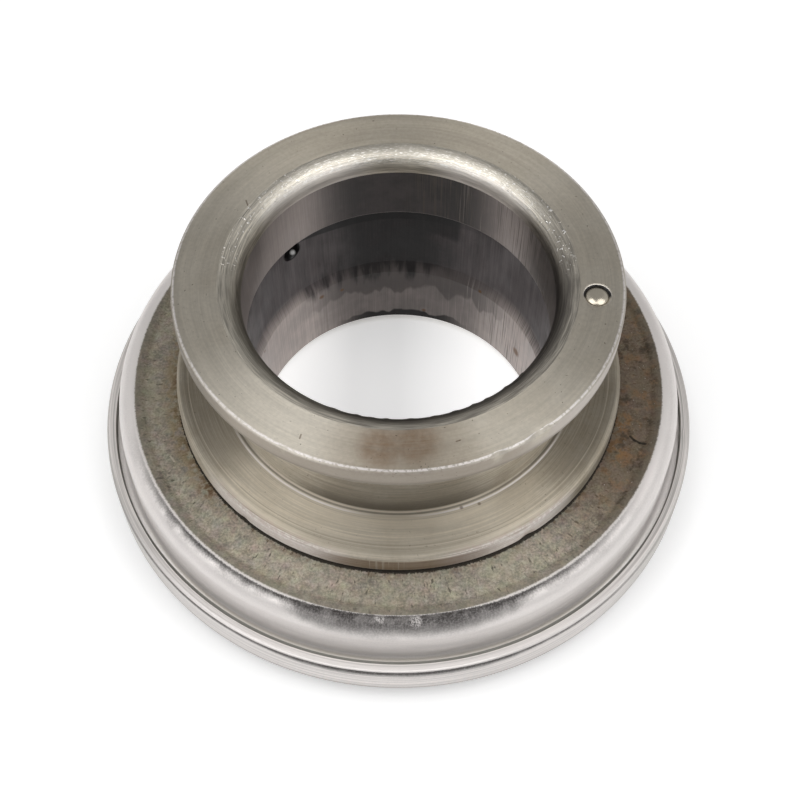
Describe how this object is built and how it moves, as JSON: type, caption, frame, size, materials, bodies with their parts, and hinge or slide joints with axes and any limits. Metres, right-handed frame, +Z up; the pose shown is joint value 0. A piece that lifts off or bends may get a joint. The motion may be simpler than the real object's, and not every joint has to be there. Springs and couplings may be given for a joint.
{
  "type": "clutch release bearing",
  "caption": "Clutch release bearing: a turned steel collar with a fork groove and plain bore, on an angular contact ball bearing in a pressed shell with a rolled rim.",
  "frame": {"origin": "centre of the contact face, on the bore axis", "axes": "+Z up the bore axis towards the fork flange, -Y towards the pictured front, +X to its right"},
  "size_m": [0.0722, 0.0722, 0.0319],
  "materials": {
    "turned_steel": "lathe turned, satin, lightly stained",
    "pressed_steel": "mottled roof with light rust, polished wall",
    "bright_steel": "rolled and polished",
    "race_steel": "ground",
    "ball_steel": "polished",
    "cage_steel": "pressed, oiled",
    "seal_rubber": "matt"
  },
  "bodies": {
    "carrier_body": {"carrier": "turned_steel", "flange_plug": "ball_steel", "inner_race": "race_steel"},
    "rotor": {"thrust_race": "race_steel", "face_seal": "seal_rubber", "bearing_shell": "pressed_steel", "clinch_ring": "bright_steel"},
    "cage": {"ball_cage": "cage_steel"},
    "ball_01_body": {"ball_01": "ball_steel"},
    "ball_02_body": {"ball_02": "ball_steel"},
    "ball_03_body": {"ball_03": "ball_steel"},
    "ball_04_body": {"ball_04": "ball_steel"},
    "ball_05_body": {"ball_05": "ball_steel"},
    "ball_06_body": {"ball_06": "ball_steel"},
    "ball_07_body": {"ball_07": "ball_steel"},
    "ball_08_body": {"ball_08": "ball_steel"},
    "ball_09_body": {"ball_09": "ball_steel"},
    "ball_10_body": {"ball_10": "ball_steel"},
    "ball_11_body": {"ball_11": "ball_steel"},
    "ball_12_body": {"ball_12": "ball_steel"},
    "ball_13_body": {"ball_13": "ball_steel"},
    "ball_14_body": {"ball_14": "ball_steel"},
    "ball_15_body": {"ball_15": "ball_steel"},
    "ball_16_body": {"ball_16": "ball_steel"},
    "ball_17_body": {"ball_17": "ball_steel"},
    "ball_18_body": {"ball_18": "ball_steel"}
  },
  "joints": [
    {"name": "rotor_spin", "type": "hinge", "parent": "carrier_body", "child": "rotor", "pos_m": [0, 0, 0.00619], "axis": [0, 0, 1], "continuous": true},
    {"name": "cage_orbit", "type": "hinge", "parent": "carrier_body", "child": "cage", "pos_m": [0, 0, 0.00619], "axis": [0, 0, 1], "continuous": true},
    {"name": "ball_01_roll", "type": "hinge", "parent": "cage", "child": "ball_01_body", "pos_m": [0.0265, 0, 0.00619], "axis": [0.7071, 0, 0.7071], "continuous": true},
    {"name": "ball_02_roll", "type": "hinge", "parent": "cage", "child": "ball_02_body", "pos_m": [0.0249, 0.00906, 0.00619], "axis": [0.6645, 0.2418, 0.7071], "continuous": true},
    {"name": "ball_03_roll", "type": "hinge", "parent": "cage", "child": "ball_03_body", "pos_m": [0.0203, 0.01703, 0.00619], "axis": [0.5417, 0.4545, 0.7071], "continuous": true},
    {"name": "ball_04_roll", "type": "hinge", "parent": "cage", "child": "ball_04_body", "pos_m": [0.01325, 0.02295, 0.00619], "axis": [0.3536, 0.6124, 0.7071], "continuous": true},
    {"name": "ball_05_roll", "type": "hinge", "parent": "cage", "child": "ball_05_body", "pos_m": [0.0046, 0.02609, 0.00619], "axis": [0.1228, 0.6964, 0.7071], "continuous": true},
    {"name": "ball_06_roll", "type": "hinge", "parent": "cage", "child": "ball_06_body", "pos_m": [-0.0046, 0.02609, 0.00619], "axis": [-0.1228, 0.6964, 0.7071], "continuous": true},
    {"name": "ball_07_roll", "type": "hinge", "parent": "cage", "child": "ball_07_body", "pos_m": [-0.01325, 0.02295, 0.00619], "axis": [-0.3536, 0.6124, 0.7071], "continuous": true},
    {"name": "ball_08_roll", "type": "hinge", "parent": "cage", "child": "ball_08_body", "pos_m": [-0.0203, 0.01703, 0.00619], "axis": [-0.5417, 0.4545, 0.7071], "continuous": true},
    {"name": "ball_09_roll", "type": "hinge", "parent": "cage", "child": "ball_09_body", "pos_m": [-0.0249, 0.00906, 0.00619], "axis": [-0.6645, 0.2418, 0.7071], "continuous": true},
    {"name": "ball_10_roll", "type": "hinge", "parent": "cage", "child": "ball_10_body", "pos_m": [-0.0265, 0, 0.00619], "axis": [-0.7071, 0, 0.7071], "continuous": true},
    {"name": "ball_11_roll", "type": "hinge", "parent": "cage", "child": "ball_11_body", "pos_m": [-0.0249, -0.00906, 0.00619], "axis": [-0.6645, -0.2418, 0.7071], "continuous": true},
    {"name": "ball_12_roll", "type": "hinge", "parent": "cage", "child": "ball_12_body", "pos_m": [-0.0203, -0.01703, 0.00619], "axis": [-0.5417, -0.4545, 0.7071], "continuous": true},
    {"name": "ball_13_roll", "type": "hinge", "parent": "cage", "child": "ball_13_body", "pos_m": [-0.01325, -0.02295, 0.00619], "axis": [-0.3536, -0.6124, 0.7071], "continuous": true},
    {"name": "ball_14_roll", "type": "hinge", "parent": "cage", "child": "ball_14_body", "pos_m": [-0.0046, -0.02609, 0.00619], "axis": [-0.1228, -0.6964, 0.7071], "continuous": true},
    {"name": "ball_15_roll", "type": "hinge", "parent": "cage", "child": "ball_15_body", "pos_m": [0.0046, -0.02609, 0.00619], "axis": [0.1228, -0.6964, 0.7071], "continuous": true},
    {"name": "ball_16_roll", "type": "hinge", "parent": "cage", "child": "ball_16_body", "pos_m": [0.01325, -0.02295, 0.00619], "axis": [0.3536, -0.6124, 0.7071], "continuous": true},
    {"name": "ball_17_roll", "type": "hinge", "parent": "cage", "child": "ball_17_body", "pos_m": [0.0203, -0.01703, 0.00619], "axis": [0.5417, -0.4545, 0.7071], "continuous": true},
    {"name": "ball_18_roll", "type": "hinge", "parent": "cage", "child": "ball_18_body", "pos_m": [0.0249, -0.00906, 0.00619], "axis": [0.6645, -0.2418, 0.7071], "continuous": true}
  ],
  "couplings": [
    {"joint": "cage_orbit", "follows": "rotor_spin", "ratio": 0.54237},
    {"joint": "ball_01_roll", "follows": "rotor_spin", "ratio": 4.1425},
    {"joint": "ball_02_roll", "follows": "rotor_spin", "ratio": 4.1425},
    {"joint": "ball_03_roll", "follows": "rotor_spin", "ratio": 4.1425},
    {"joint": "ball_04_roll", "follows": "rotor_spin", "ratio": 4.1425},
    {"joint": "ball_05_roll", "follows": "rotor_spin", "ratio": 4.1425},
    {"joint": "ball_06_roll", "follows": "rotor_spin", "ratio": 4.1425},
    {"joint": "ball_07_roll", "follows": "rotor_spin", "ratio": 4.1425},
    {"joint": "ball_08_roll", "follows": "rotor_spin", "ratio": 4.1425},
    {"joint": "ball_09_roll", "follows": "rotor_spin", "ratio": 4.1425},
    {"joint": "ball_10_roll", "follows": "rotor_spin", "ratio": 4.1425},
    {"joint": "ball_11_roll", "follows": "rotor_spin", "ratio": 4.1425},
    {"joint": "ball_12_roll", "follows": "rotor_spin", "ratio": 4.1425},
    {"joint": "ball_13_roll", "follows": "rotor_spin", "ratio": 4.1425},
    {"joint": "ball_14_roll", "follows": "rotor_spin", "ratio": 4.1425},
    {"joint": "ball_15_roll", "follows": "rotor_spin", "ratio": 4.1425},
    {"joint": "ball_16_roll", "follows": "rotor_spin", "ratio": 4.1425},
    {"joint": "ball_17_roll", "follows": "rotor_spin", "ratio": 4.1425},
    {"joint": "ball_18_roll", "follows": "rotor_spin", "ratio": 4.1425}
  ]
}
